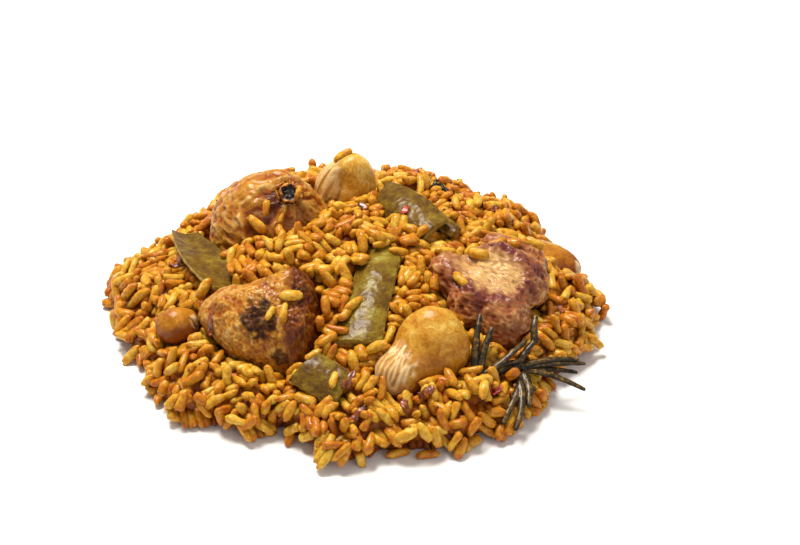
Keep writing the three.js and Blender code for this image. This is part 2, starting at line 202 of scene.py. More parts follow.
def lumps(points, size, seed, stretch=(1, 1, 1)):
    """Smooth noise, about -1 to 1, with lumps of size mm, drawn out by stretch on each axis."""
    spot = points / (size * np.array(stretch)) + seed * 13.7
    base = np.floor(spot).astype(np.int64)
    part = spot - base
    fade = part**3 * (part * (part * 6 - 15) + 10)
    total = np.zeros(len(points))
    for corner in product((0, 1), repeat=3):
        at = base + corner
        code = (at[:, 0] * 73856093) ^ (at[:, 1] * 19349663) ^ (at[:, 2] * 83492791)
        pull = (GRADIENTS[code % 256] * (part - corner)).sum(1)
        share = np.where(np.array(corner) == 1, fade, 1 - fade).prod(1)
        total += pull * share
    return total * 1.6


def crests(points, size, seed, stretch=(1, 1, 1)):
    """Noise of narrow crests between broad dips, 0 to 1."""
    return 1 - np.minimum(1, np.abs(lumps(points, size, seed, stretch)) * 1.6)


def fanned(points, hub, right, up, reach, size, seed):
    """Crests that run out from a hub like the pleats of a fan, size mm wide at the reach."""
    offset = points - hub
    across = offset @ np.array(right)
    above = offset @ np.array(up)
    distance = np.hypot(across, above) + 0.01
    turned = np.stack([across / distance, above / distance, 0.02 * distance], axis=1) * reach
    return crests(turned + 0.8 * lumps(points, 5, seed + 1)[:, None], size, seed)


def step(value, low, high):
    """0 below low and 1 above high, and smooth between them."""
    share = np.clip((value - low) / (high - low), 0, 1)
    return share * share * (3 - 2 * share)


def spot_in(node, right, back, up):
    """A place in mm, as shares of the way along a CAD node's box."""
    low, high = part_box(node)
    share = Vector((right, back, up))
    return np.array([low[i] + (high[i] - low[i]) * share[i] for i in range(3)]) / MM


def near(points, place, radius, ragged, seed):
    """1 inside a patch round a place, with a ragged edge, and 0 well outside it."""
    distance = np.linalg.norm((points - place) / np.array(radius), axis=1)
    return 1 - step(distance + ragged * lumps(points, 2.2, seed), 0.65, 1.15)


def meat_material(name, golden, amber, brown, pale_fat_and_highlight, scorch, coarse):
    """Browned skin and meat. The painted crest number puts painted highlight on the crests of
    folds and painted shade in their dips; the browned and charred numbers are browning and char
    from the pan, with painted shade in hollows and on shaded sides; the pale number adds pale fat
    and painted highlight streaks.
    """
    material, tree = blank_material(name)
    place = put(tree, "ShaderNodeTexCoord").outputs["Object"]
    crest_shading, browning_and_shade, char_and_shade, pale_and_highlight = (
        put(tree, "ShaderNodeAttribute", attribute_name=painted).outputs["Fac"]
        for painted in ("crest_shading", "browning_and_shade", "char_and_shade", "pale_and_highlight")
    )
    mottle = put(
        tree,
        "ShaderNodeTexNoise",
        {"Vector": place, "Scale": 1 / (2.6 * MM), "Detail": 6.0, "Roughness": 0.7},
    ).outputs["Fac"]
    summed = put(tree, "ShaderNodeMath", {0: mottle, 1: crest_shading}, operation="ADD").outputs[0]
    half = put(tree, "ShaderNodeMath", {0: summed, 1: 0.5}, operation="MULTIPLY").outputs[0]
    skin = put(
        tree,
        "ShaderNodeValToRGB",
        {"Fac": half},
        stops=[(0.26, brown), (0.43, amber), (0.62, golden), (0.82, pale_fat_and_highlight)],
    ).outputs["Color"]
    for share, code in ((pale_and_highlight, pale_fat_and_highlight), (browning_and_shade, brown), (char_and_shade, scorch)):
        laid_over = {"Factor": share, 6: skin, 7: linear(code)}
        skin = put(tree, "ShaderNodeMix", laid_over, data_type="RGBA").outputs[2]
    grain = put(
        tree,
        "ShaderNodeTexNoise",
        {"Vector": place, "Scale": 1 / (0.8 * MM), "Detail": 5.0, "Roughness": 0.65},
    ).outputs["Fac"]
    relief = put(
        tree, "ShaderNodeBump", {"Height": grain, "Strength": 0.8, "Distance": coarse * MM}
    ).outputs["Normal"]
    dullness, oiliness = (
        put(tree, "ShaderNodeMapRange", {"Value": char_and_shade, "To Min": plain, "To Max": burnt})
        for plain, burnt in ((0.4, 0.8), (0.32, 0.05))
    )
    surface = put(
        tree,
        "ShaderNodeBsdfPrincipled",
        {
            "Base Color": skin,
            "Roughness": dullness.outputs["Result"],
            "Specular IOR Level": 0.08,
            "Normal": relief,
            "Subsurface Weight": 0.15,
            "Subsurface Radius": (1.0, 0.4, 0.12),
            "Subsurface Scale": 1.0 * MM,
            "Coat Weight": oiliness.outputs["Result"],
            "Coat Roughness": 0.2,
        },
    )
    put(tree, "ShaderNodeOutputMaterial", {"Surface": surface.outputs[0]})
    return material


# Roast chicken skin: golden where fat has crisped and with painted highlight on the crests of
# folds, amber with painted shade in the folds, glossy with oil.
chicken_skin = meat_material(
    "browned chicken skin, oily",
    golden="#b67c22",
    amber="#964a0c",
    brown="#60290a",
    pale_fat_and_highlight="#d6b068",
    scorch="#2a1413",
    coarse=0.6,
)

chicken_back = copy_of("chicken_back", "chicken_piece_back", levels=3)
points, out = read(chicken_back), read(chicken_back, "normal")
bone_low, bone_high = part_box("chicken_bone")
bone_end = np.array((bone_low + bone_high) / 2) / MM + np.array((0.4, -4.0, 3.4))
cut_aim = np.array((0.1, -0.74, 0.66))
cut_aim /= np.linalg.norm(cut_aim)
cut_across = np.array((1.0, 0.1, 0.0))
cut_up = np.cross(cut_across, cut_aim) * -1
cut_middle = bone_end + np.array((-0.5, -5.0, -6.5))
from_middle = points - cut_middle
across = from_middle @ cut_across / 15.0
upward = from_middle @ cut_up / 13.5
edge = np.hypot(across, upward) + 0.14 * lumps(points, 7, 1)
facing = step(out @ cut_aim, 0.0, 0.4)
meat = (1 - step(edge, 0.86, 1.02)) * facing
lip = np.exp(-(((edge - 1.04 - 0.06 * lumps(points, 3, 17)) / 0.06) ** 2)) * facing
lip *= 0.2 + 0.8 * step(lumps(points, 5, 16), -0.2, 0.4)
pleats = fanned(points, bone_end, cut_across, cut_up, 8, 2.8, 5)
threads = fanned(points, bone_end, cut_across, cut_up, 8, 1.0, 6)
folds = crests(points, 5.0, 4, (1.8, 1, 0.8)) * 0.65 + crests(points, 2.2, 7, (1.4, 1, 0.8)) * 0.35
skin_relief = 1.3 * (folds - 0.5) + 0.9 * lumps(points, 10, 8)
meat_relief = 1.1 * (pleats - 0.5) + 0.45 * (threads - 0.5) + 0.7 * lumps(points, 5, 9) - 0.9
height = skin_relief * (1 - meat) + meat_relief * meat + (0.9 + 0.5 * lumps(points, 3, 15)) * lip
write(chicken_back, points + out * height[:, None])
beside_bone = bone_end + np.array((-5.5, -2.5, -2.0))
purple = near(points, beside_bone, (3.6, 3.6, 4.2), 0.6, 10)
# Painted shade: the lower right of the cut face.
shaded_lower_right = near(points, bone_end + np.array((5.0, -6.0, -9.0)), (9, 8, 5), 0.5, 12)
# Painted highlight and shade: the crests of the skin's folds, the meat's pleats and the lip are
# painted lighter, their dips darker.
crest_light = 0.1 + 0.8 * folds * (1 - meat) + (0.1 + 0.6 * pleats) * meat + 0.3 * lip
paint(chicken_back, "crest_shading", crest_light)
# Browning beside the bone, with painted shade on the lower right and in the grooves between the
# threads.
browning_and_painted_shade = 0.08 + 0.85 * purple + 0.35 * shaded_lower_right + 0.3 * meat * (1 - threads)
paint(chicken_back, "browning_and_shade", browning_and_painted_shade)
# Char beside the bone, and painted shade on the lower right between the threads.
paint(chicken_back, "char_and_shade", 0.4 * purple * threads + 0.15 * shaded_lower_right * (1 - threads))
# Painted highlight: pale streaks on the skin and along the lip.
highlight_streaks = step(lumps(points, 2.4, 11, (2.6, 1, 0.8)), 0.15, 0.6)
paint(chicken_back, "pale_and_highlight", (1 - 0.6 * meat) * 0.55 * highlight_streaks + 0.25 * lip)
chicken_back.data.materials.append(chicken_skin)
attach(chicken_back, "root")
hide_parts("chicken_back")

# ---- The end of the leg bone ----
# A ring of bone that the heat has browned, round marrow that has burnt nearly black.

bone = copy_of("chicken_bone", "chicken_leg_bone", levels=3, crease=0.4)
points, out = read(bone), read(bone, "normal")
from_axis = points - bone_end
along_bone = from_axis @ cut_aim
off_axis = np.linalg.norm(from_axis - along_bone[:, None] * cut_aim, axis=1)
marrow = 1 - step(off_axis + 0.7 * lumps(points, 1.7, 6), 2.2, 3.0)
marrow = marrow * step(along_bone, -4, -2.5)
rough = 0.35 * lumps(points, 2.2, 2) + 0.3 * lumps(points, 0.9, 3)
sunk = marrow * (0.7 * lumps(points, 1.1, 5) - 1.2 - along_bone + along_bone.max())
write(bone, points + out * (rough * (1 - marrow))[:, None] + (1.2 + sunk)[:, None] * cut_aim)
paint(bone, "marrow", marrow)
paint(bone, "scorch", step(lumps(points, 2.4, 4), -0.3, 0.5))

# Cooked bone: porous and dull, amber to brown, with a crust of burnt marrow in the middle.
burnt_bone, tree = blank_material("leg bone, browned")
scorch = put(tree, "ShaderNodeAttribute", attribute_name="scorch").outputs["Fac"]
marrow_share = put(tree, "ShaderNodeAttribute", attribute_name="marrow").outputs["Fac"]
ring_colour = put(
    tree, "ShaderNodeValToRGB", {"Fac": scorch}, stops=[(0.1, "#d08a2a"), (0.9, "#8a4c1a")]
).outputs["Color"]
marrow_over = {"Factor": marrow_share, 6: ring_colour, 7: linear("#241718")}
bone_colour = put(tree, "ShaderNodeMix", marrow_over, data_type="RGBA").outputs[2]
surface = put(
    tree,
    "ShaderNodeBsdfPrincipled",
    {"Base Color": bone_colour, "Roughness": 0.5, "Coat Weight": 0.2, "Coat Roughness": 0.25},
)
put(tree, "ShaderNodeOutputMaterial", {"Surface": surface.outputs[0]})
bone.data.materials.append(burnt_bone)
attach(bone, "root")
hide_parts("chicken_bone")

# ---- Chicken: a boneless piece with its skin up ----
# Three cornered, with goose pimpled skin that has crisped to orange, and black scabs where it
# caught on the pan. Its right flank is skinless and shows the long fibres of the meat; its brown
# is partly painted shade, and the left side carries a painted sheen.

chicken_front = copy_of("chicken_front", "chicken_piece_front", levels=3)
points, out = read(chicken_front), read(chicken_front, "normal")
right_edge = spot_in("chicken_front", 0.68, 0, 0)[0]
flank = step(points[:, 0] + 1.8 * lumps(points, 6, 3), right_edge, right_edge + 5)
pimples = crests(points, 1.6, 12) ** 2
folds = crests(points, 5.5, 13, (1.3, 1, 1)) * 0.6 + crests(points, 2.4, 14) * 0.4
fibres = crests(points, 2.0, 15, (0.7, 0.7, 3.5))
scabs = np.maximum.reduce(
    [
        near(points, spot_in("chicken_front", 0.53, 0.24, 0.75), (6.2, 7, 6.4), 0.6, 21),
        0.9 * near(points, spot_in("chicken_front", 0.69, 0.08, 0.46), (2.6, 4, 3.4), 0.6, 22),
        0.8 * near(points, spot_in("chicken_front", 0.85, 0.5, 0.92), (3.2, 5, 4.2), 0.7, 23),
        0.6 * near(points, spot_in("chicken_front", 0.84, 0.2, 0.62), (2.0, 4, 5), 0.7, 24),
        0.7 * near(points, spot_in("chicken_front", 0.9, 0.15, 0.34), (2.4, 4, 2.6), 0.6, 25),
    ]
)
crust = 0.5 * lumps(points, 1.5, 26) + 0.35 * lumps(points, 0.8, 27)
height = 0.8 * lumps(points, 8, 17) + 0.9 * (folds - 0.5) + 0.3 * pimples * (1 - flank)
height += 0.9 * (fibres - 0.5) * flank + scabs * (0.4 + 1.1 * crust)
write(chicken_front, points + out * height[:, None])
# Painted highlight and shade: folds, pimples and fibres are painted lighter on their crests.
paint(chicken_front, "crest_shading", 0.12 + 0.42 * folds + 0.42 * pimples * (1 - flank) + 0.15 * fibres)
seared = step(lumps(points, 6, 18), 0.0, 0.7) * 0.5
# The right flank is painted brown, partly as meat and partly as painted shade on that side,
# darkest between its fibres.
paint(chicken_front, "browning_and_shade", flank * (0.5 + 0.3 * (1 - fibres)) + seared)
paint(chicken_front, "char_and_shade", scabs * (0.85 + 0.5 * crust))
# Painted sheen: the left side is painted paler in patches.
left_edge = spot_in("chicken_front", 0.25, 0, 0)[0]
lit_left_side = 1 - step(points[:, 0], left_edge, left_edge + 9)
paint(chicken_front, "pale_and_highlight", lit_left_side * 0.5 * step(lumps(points, 3, 19), -0.1, 0.6))
chicken_front.data.materials.append(chicken_skin)
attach(chicken_front, "root")
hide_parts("chicken_front")

# ---- Rabbit ----
# A browned piece of rabbit on its side: red brown muscle with a purple sheen, cut across on
# top, where the pale fibres show inside a darker rim.

rabbit = copy_of("rabbit", "rabbit_piece", levels=3)
points, out = read(rabbit), read(rabbit, "normal")
slab = spot_in("rabbit", 0.54, 0.36, 0.95)
along_grain = np.array([[0.82, 0.57, 0], [-0.57, 0.82, 0], [0, 0, 1]])
grain_way = points @ along_grain
top = near(grain_way, slab @ along_grain, (17, 10, 8), 0.18, 31) * step(out[:, 2], 0.3, 0.7)
ring = near(points, slab, (17, 15, 11), 0.2, 32) * step(out[:, 2], 0.0, 0.5) * (1 - top)
fibres = crests(grain_way, 1.1, 33, (4.5, 0.7, 0.8)) * 0.6
fibres += crests(grain_way, 2.4, 30, (3, 1, 1)) * 0.4
muscle = crests(grain_way, 1.5, 29, (3.2, 0.8, 0.8))
folds = crests(points, 6.0, 34) * 0.6 + crests(points, 2.6, 35) * 0.4
fat_patch = near(points, spot_in("rabbit", 0.74, 0.39, 0.45), (5, 5, 5), 0.4, 36)
height = 0.9 * lumps(points, 8, 37) + 1.5 * (folds - 0.5) * (1 - top) + 0.4 * (muscle - 0.5)
height += 0.18 * (fibres - 0.5) * top - 0.5 * top + 0.6 * ring
write(rabbit, points + out * height[:, None])
blush = 0.5 + 0.5 * lumps(points, 5, 39)
# Painted highlight and shade: folds and muscle are painted lighter on their crests.
paint(rabbit, "crest_shading", (0.7 * folds + 0.35 * muscle) * (1 - top) + 0.75 * top * fibres)
paint(rabbit, "browning_and_shade", 0.7 * (1 - top) * (1 - fat_patch) * blush + 0.7 * ring)
# Painted shade in the dips between the folds, and char on the rim.
paint(rabbit, "char_and_shade", 0.5 * (1 - top) * step(0.5 - folds, 0.0, 0.3) + 0.3 * ring * blush)
paint(rabbit, "pale_and_highlight", top * (0.2 + 0.6 * fibres) + 0.55 * fat_patch)

# Dark meat: maroon where it is browned, with painted shade in the dips between folds and painted
# highlight on their crests, wet and shiny, with straw coloured fibres where cut.
rabbit_meat = meat_material(
    "browned rabbit meat, moist",
    golden="#b0723a",
    amber="#88441c",
    brown="#70322a",
    pale_fat_and_highlight="#dab474",
    scorch="#2e1210",
    coarse=0.3,
)
rabbit.data.materials.append(rabbit_meat)
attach(rabbit, "root")
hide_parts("rabbit")

# ---- Butter beans ----
# Large white beans that have taken up the saffron stock: plump kidneys in a thin glossy skin,
# which has come loose in creases near the waist.


def stewed_food(name, mottle, tint, stops, surface, cover=None, pores=None, relief=None):
    """A food in mottled colours that a painted tint shifts, under a painted cover of one colour.

    mottle and pores are noises for the colours and the relief. tint is the painted number's name
    and how much it counts, and cover is the painted share's name and its colour.
    """
    material, tree = blank_material(name)
    place = put(tree, "ShaderNodeTexCoord").outputs["Object"]
    shift = put(tree, "ShaderNodeAttribute", attribute_name=tint[0]).outputs["Fac"]
    blotch = put(tree, "ShaderNodeTexNoise", {"Vector": place, **mottle}).outputs["Fac"]
    shifted = put(
        tree, "ShaderNodeMath", {0: shift, 1: tint[1], 2: blotch}, operation="MULTIPLY_ADD"
    ).outputs[0]
    colour = put(tree, "ShaderNodeValToRGB", {"Fac": shifted}, stops=stops).outputs["Color"]
    if cover:
        share = put(tree, "ShaderNodeAttribute", attribute_name=cover[0]).outputs["Fac"]
        laid_over = {"Factor": share, 6: colour, 7: linear(cover[1])}
        colour = put(tree, "ShaderNodeMix", laid_over, data_type="RGBA").outputs[2]
    shader = put(tree, "ShaderNodeBsdfPrincipled", {"Base Color": colour, **surface})
    if pores:
        pore = put(tree, "ShaderNodeTexNoise", {"Vector": place, **pores}).outputs["Fac"]
        bump = put(tree, "ShaderNodeBump", {"Height": pore, **relief})
        tree.links.new(bump.outputs["Normal"], shader.inputs["Normal"])
    put(tree, "ShaderNodeOutputMaterial", {"Surface": shader.outputs[0]})
    return material


# Thin bean skin: translucent, satin smooth, pale straw with an orange stain where sauce stood;
# loose skin in the creases is paler, with painted highlights on the crests of its pleats.
butter_bean_skin = stewed_food(
    "butter bean, stewed in saffron",
    mottle={"Scale": 1 / (2.6 * MM), "Detail": 8.0, "Roughness": 0.8, "Distortion": 1.2},
    tint=("stain", 1.0),
    stops=[(0.34, "#e4c67c"), (0.5, "#c69838"), (0.66, "#b07216"), (0.92, "#7f400a")],
    cover=("crease", "#ead09c"),
    pores={"Scale": 1 / (0.9 * MM), "Detail": 4.0, "Roughness": 0.6},
    relief={"Strength": 0.6, "Distance": 0.4 * MM},
    surface={
        "Roughness": 0.55,
        "Specular IOR Level": 0.1,
        "Subsurface Weight": 0.2,
        "Subsurface Radius": (1.0, 0.6, 0.15),
        "Subsurface Scale": 1.2 * MM,
        "Coat Weight": 0.28,
        "Coat Roughness": 0.22,
    },
)

BEANS = {
    # the middle of the creased skin as shares of the bean's box, the way its creases run, how
    # far it spreads in mm, and how much sauce has stained the bean
    "butter_bean_top": ((0.22, 0.2, 0.7), (-0.45, 0.0, -0.9), (6, 9, 10), 0.0),
    "butter_bean_front": ((0.2, 0.2, 0.45), (-0.35, -0.45, -0.8), (7.5, 9, 9), 0.15),
    "butter_bean_right": ((0.9, 0.4, 0.3), (0.8, 0.0, -0.6), (3, 4, 3), 0.45),
    "butter_bean_left": ((0.9, 0.4, 0.7), (0.6, 0.0, -0.8), (2, 3, 3), 0.55),
}
beans = []
for seed, (node, (slack_at, crease_way, spread, soak)) in enumerate(BEANS.items()):
    bean = copy_of(node, node + "_skin", levels=3)
    points, out = read(bean), read(bean, "normal")
    low, high = (np.array(corner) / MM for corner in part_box(node))
    slack = near(points, spot_in(node, *slack_at), spread, 0.3, 40 + seed)
    turned = Vector(crease_way).to_track_quat("X", "Z").to_matrix()
    pleats = crests(points @ np.array(turned), 1.7, 41 + seed, (11, 1, 1))
    height = 0.45 * lumps(points, 7, 42 + seed) + 0.12 * lumps(points, 2.2, 43 + seed)
    height += slack * (0.6 * pleats - 0.45)
    write(bean, points + out * height[:, None])
    rise = (points[:, 2] - low[2]) / (high[2] - low[2])
    soaked = (1 - step(rise, 0.25, 0.9)) * soak + 0.14 * lumps(points, 5, 44 + seed)
    paint(bean, "stain", 0.04 + 0.3 * soak + soaked)
    # Loose skin is paler, with painted highlights on the crests of its pleats.
    paint(bean, "crease", slack * (0.15 + 0.6 * step(pleats, 0.3, 1.0)))
    beans.append(bean)
    bean.data.materials.append(butter_bean_skin)
    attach(bean, "root")
    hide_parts(node)

# ---- Flat green beans ----
# Wide flat pods cut across into pieces and stewed until olive: a leathery skin that shines
# silver with oil, swollen a little over the seeds, and pale yellow green where it was cut.

# Pod skin: leathery, olive to brown in blotches, yellow green where it is cut, with a pale painted
# highlight along the lip of the left pod, shining with oil.
pod_skin = stewed_food(
    "flat green bean pod, stewed",
    mottle={"Scale": 1 / (3.0 * MM), "Detail": 6.0, "Roughness": 0.68},
    tint=("shade", 1.0),
    stops=[(0.3, "#402804"), (0.5, "#684808"), (0.74, "#866e18"), (1.0, "#a89c4c")],
    cover=("cut", "#b39440"),
    pores={"Scale": 1 / (0.8 * MM), "Detail": 4.0, "Roughness": 0.6},
    relief={"Strength": 1.0, "Distance": 0.9 * MM},
    surface={
        "Roughness": 0.55,
        "Specular IOR Level": 0.08,
        "Subsurface Weight": 0.08,
        "Subsurface Radius": (0.7, 0.6, 0.2),
        "Subsurface Scale": 1.0 * MM,
        "Coat Weight": 0.32,
        "Coat Roughness": 0.26,
    },
)

PODS = {
    # which way the skin faces, how light it is, and how far its edges are pale, which on the left
    # pod is also painted highlight along its lip
    "green_bean_left": {"out": (0.35, -0.35, 0.86), "light": -0.06, "pale_and_highlight": 0.9},
    "green_bean_centre": {"out": (-0.15, -0.4, 0.88), "light": 0.1, "pale_and_highlight": 0.8},
    "green_bean_front": {"out": (-0.05, -0.5, 0.86), "light": 0.0, "pale_and_highlight": 0.75},
    "green_bean_top": {"out": (-0.15, -0.48, 0.86), "light": -0.06, "pale_and_highlight": 0.7},
    "green_bean_under": {"out": (0.25, -0.32, 0.9), "light": -0.05, "pale_and_highlight": 0.5},
}
pods = []
for seed, (node, pod) in enumerate(PODS.items()):
    strip = copy_of(node, node + "_pod", levels=4, crease=0.75)
    points, out = read(strip), read(strip, "normal")
    skin_way = np.array(pod["out"]) / np.linalg.norm(pod["out"])
    flat = np.abs(out @ skin_way)
    height = 0.35 * lumps(points, 6.5, 50 + seed) + 0.16 * crests(points, 2.6, 51 + seed)
    rim = 1 - step(flat, 0.35, 0.75)
    height = height * (1 - rim) + rim * 0.45 * lumps(points, 1.8, 52 + seed)
    write(strip, points + out * height[:, None])
    # The edges are pale where they were cut; on the left pod this is also a painted highlight
    # along its lip.
    paint(strip, "cut", rim * pod["pale_and_highlight"])
    paint(strip, "shade", 0.05 + pod["light"] + 0.26 * lumps(points, 6, 53 + seed))
    pods.append(strip)
    strip.data.materials.append(pod_skin)
    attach(strip, "root")
    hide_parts(node)

# ---- Rosemary ----
# A soft tip of rosemary cooked until nearly black. Each narrow leaf is rolled under at its
# edges, with a groove down the middle, and is grey brown where light catches it.

rosemary = copy_of("rosemary", "rosemary_sprig", levels=2, crease=0.2)
points, out = read(rosemary), read(rosemary, "normal")
write(rosemary, points + out * (0.25 + 0.14 * lumps(points, 1.5, 61))[:, None])
# Painted light: the leaves are painted paler where they face up.
paint(rosemary, "lit_top", step(out[:, 2] + 0.35 * lumps(points, 4, 62), 0.45, 0.95))

# Rosemary leaf: black green, dull, with painted light that makes it paler where it faces up, with
# a little oil on it.
wilted_leaf = stewed_food(
    "rosemary leaf, cooked dark",
    mottle={"Scale": 1 / (1.2 * MM), "Detail": 4.0, "Roughness": 0.6},
    tint=("lit_top", 0.3),
    stops=[(0.46, "#120e05"), (0.64, "#261e0d"), (0.8, "#4a3614"), (0.95, "#82612d")],
    surface={
        "Roughness": 0.6,
        "Specular IOR Level": 0.1,
        "Coat Weight": 0.4,
        "Coat Roughness": 0.22,
    },
)
rosemary.data.materials.append(wilted_leaf)
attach(rosemary, "root")
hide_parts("rosemary")

# ---- The grains ----
# Short round paella rice, cooked until each grain has swollen to about 8 mm and taken the
# saffron's yellow. Grains cling together side by side; some are bent, pinched, burst or broken.

CELL = 0.6  # mm between the columns of the height maps
REACH = 96.0  # mm from the middle of the height maps to their edges
side = np.arange(-REACH, REACH + CELL / 2, CELL)
GRID_X, GRID_Y = np.meshgrid(side, side, indexing="ij")


def column_heights(node):
    """A CAD node's highest surface over each column, in mm, or -1 beside the node."""
    highest = np.full(GRID_X.shape, -1.0)
    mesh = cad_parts[node].data
    mesh.calc_loop_triangles()
    for triangle in mesh.loop_triangles:
        a, b, c = (np.array(mesh.vertices[i].co) / MM for i in triangle.vertices)
        first = np.floor((np.minimum(np.minimum(a, b), c) + REACH) / CELL).astype(int)
        last = np.ceil((np.maximum(np.maximum(a, b), c) + REACH) / CELL).astype(int) + 1
        window = (slice(first[0], last[0]), slice(first[1], last[1]))
        area = (b[0] - a[0]) * (c[1] - a[1]) - (c[0] - a[0]) * (b[1] - a[1])
        if abs(area) < 1e-9:
            continue
        x = GRID_X[window] - a[0]
        y = GRID_Y[window] - a[1]
        v = (x * (c[1] - a[1]) - (c[0] - a[0]) * y) / area
        w = ((b[0] - a[0]) * y - x * (b[1] - a[1])) / area
        inside = (v >= -1e-6) & (w >= -1e-6) & (v + w <= 1 + 1e-6)
        z = a[2] + v * (b[2] - a[2]) + w * (c[2] - a[2])
        highest[window] = np.where(inside, np.maximum(highest[window], z), highest[window])
    return highest


def shrunk(field, radius):
    """Each column's lowest neighbour within a radius in mm."""
    reach = int(round(radius / CELL))
    result = field.copy()
    for i, j in product(range(-reach, reach + 1), repeat=2):
        if i * i + j * j <= reach * reach and (i or j):
            result = np.minimum(result, np.roll(field, (i, j), axis=(0, 1)))
    return result


SHELL = 5.4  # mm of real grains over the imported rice
rice_top = column_heights("rice")
heart_top = np.maximum(shrunk(np.maximum(rice_top, 0), SHELL) - SHELL, 0)


def look_up(field, x, y):
    """A height map's value at places in mm, blended between columns."""
    i = (np.asarray(x) + REACH) / CELL
    j = (np.asarray(y) + REACH) / CELL
    i0 = np.clip(np.floor(i).astype(int), 0, field.shape[0] - 2)
    j0 = np.clip(np.floor(j).astype(int), 0, field.shape[1] - 2)
    u, v = i - i0, j - j0
    near_row = field[i0, j0] * (1 - v) + field[i0, j0 + 1] * v
    far_row = field[i0 + 1, j0] * (1 - v) + field[i0 + 1, j0 + 1] * v
    return near_row * (1 - u) + far_row * u


GRAIN_SIDES = 8
GRAIN_RINGS = 7
GRAIN_WIDTH = 3.3
HALF_GRAIN = np.array((7.5, GRAIN_WIDTH, 3.05)) / 2
SINK = 1.4  # mm that a sticky grain settles into its neighbours
GRAIN_KINDS = {
    # share of all grains, girth, bow, swelling at one end, waist, and where along it, of -1 to
    # 1, a blunt end starts
    "plump": (0.24, 1.0, 0.1, 0.1, 0.0, 1.0),
    "bent": (0.22, 0.95, 0.5, 0.0, 0.0, 1.0),
    "slim": (0.14, 0.84, 0.22, -0.1, 0.0, 1.0),
    "pinched": (0.14, 1.06, 0.15, 0.0, 0.28, 1.0),
    "burst": (0.12, 0.94, -0.15, 0.34, 0.12, 0.8),
    "broken": (0.14, 1.04, 0.0, 0.0, 0.0, 0.2),
}


def grain_shape(girth, bow, swelling, waist, cut):
    """One grain along X, 2 long and about 2 across: its corners, faces and places along it."""
    bpy.ops.object.select_all(action="DESELECT")
    bpy.ops.mesh.primitive_uv_sphere_add(
        segments=GRAIN_SIDES, ring_count=GRAIN_RINGS, radius=1, rotation=(0, math.pi / 2, 0)
    )
    grain = bpy.context.object
    bpy.ops.object.transform_apply(location=False, rotation=True, scale=False)
    corners = np.array([v.co for v in grain.data.vertices], float)
    sides = np.array([[*face.vertices, -1][:4] for face in grain.data.polygons])
    bpy.data.objects.remove(grain)
    along = corners[:, 0].copy()
    round_end = np.sqrt(np.maximum(1e-9, 1 - along**2))
    blunt_end = np.sqrt(np.maximum(0, 1 - np.abs(along) ** 3.6))
    fullness = np.where(round_end > 0.01, blunt_end / round_end, 0) * girth
    fullness *= 1 + swelling * along - waist * np.exp(-(((along - 0.1) / 0.32) ** 2))
    corners[:, 1:] *= fullness[:, None]
    corners[:, 2] += bow * (0.5 - along**2)
    corners[:, 0] = np.where(along > cut, cut + 0.22 * (along - cut), along)
    return corners, sides, along


kind_names = list(GRAIN_KINDS)
kind_shares = [traits[0] for traits in GRAIN_KINDS.values()]
shapes = {kind: grain_shape(*traits[1:]) for kind, traits in GRAIN_KINDS.items()}
laid = {kind: [] for kind in kind_names}  # the middle, turn, half size and tone of each grain

piece_top = np.full(GRID_X.shape, -1.0)
piece_under = np.full(GRID_X.shape, 999.0)
for piece in (chicken_back, bone, chicken_front, rabbit, rosemary, *beans, *pods):
    points = read(piece)
    columns = np.round((points[:, :2] + REACH) / CELL).astype(int)
    np.maximum.at(piece_top, (columns[:, 0], columns[:, 1]), points[:, 2])
    np.minimum.at(piece_under, (columns[:, 0], columns[:, 1]), points[:, 2])

draws = np.random.default_rng(41)
flat_spots = np.stack([GRID_X.ravel(), GRID_Y.ravel(), np.zeros(GRID_X.size)], axis=1)
uneven = (2.6 * lumps(flat_spots, 13, 81) + 1.5 * lumps(flat_spots, 6, 82)).reshape(GRID_X.shape)
EDGE = 1.2  # mm that the grains' middles stay inside the heap's outline
TUCKED = 3.6  # mm that rice reaches in under the edges of a piece
ROOM = 4.4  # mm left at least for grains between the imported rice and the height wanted
NOWHERE = -5.0  # the height wanted where no grains are
heap = shrunk(np.maximum(rice_top, 0), EDGE)
bumpy = np.maximum(heap + uneven * np.minimum(1, heap / 7), 3.0)
wanted = np.where(heap > 0, bumpy, NOWHERE)
wanted[shrunk(np.where(piece_top > 0, 1.0, 0.0), TUCKED) > 0] = NOWHERE
room_below = np.minimum(heart_top, np.maximum(wanted - ROOM, 0))
surface_now = np.where(wanted > 0, room_below, heart_top)
low_edge = (piece_top > 0) & (piece_top < heap + 0.8)
surface_now[low_edge] = np.maximum(surface_now, piece_top)[low_edge]
combed = np.full(GRID_X.shape, np.nan)  # the way that the top grain in each column lies
HALF_WINDOW = 9
window_side = np.arange(-HALF_WINDOW, HALF_WINDOW + 1) * CELL
WINDOW_X, WINDOW_Y = np.meshgrid(window_side, window_side, indexing="ij")
PITCHES = np.radians([0, 14, -14, 28, -28, 45, -45])
STEEP = np.radians([35, -35, 55, -55, 72, -72])


def grain_axes(heading, pitch):
    """The directions along, across and through a grain."""
    level = math.cos(pitch)
    ahead = np.array((math.cos(heading) * level, math.sin(heading) * level, math.sin(pitch)))
    aside = np.array((-math.sin(heading), math.cos(heading), 0.0))
    return ahead, aside, np.cross(ahead, aside)


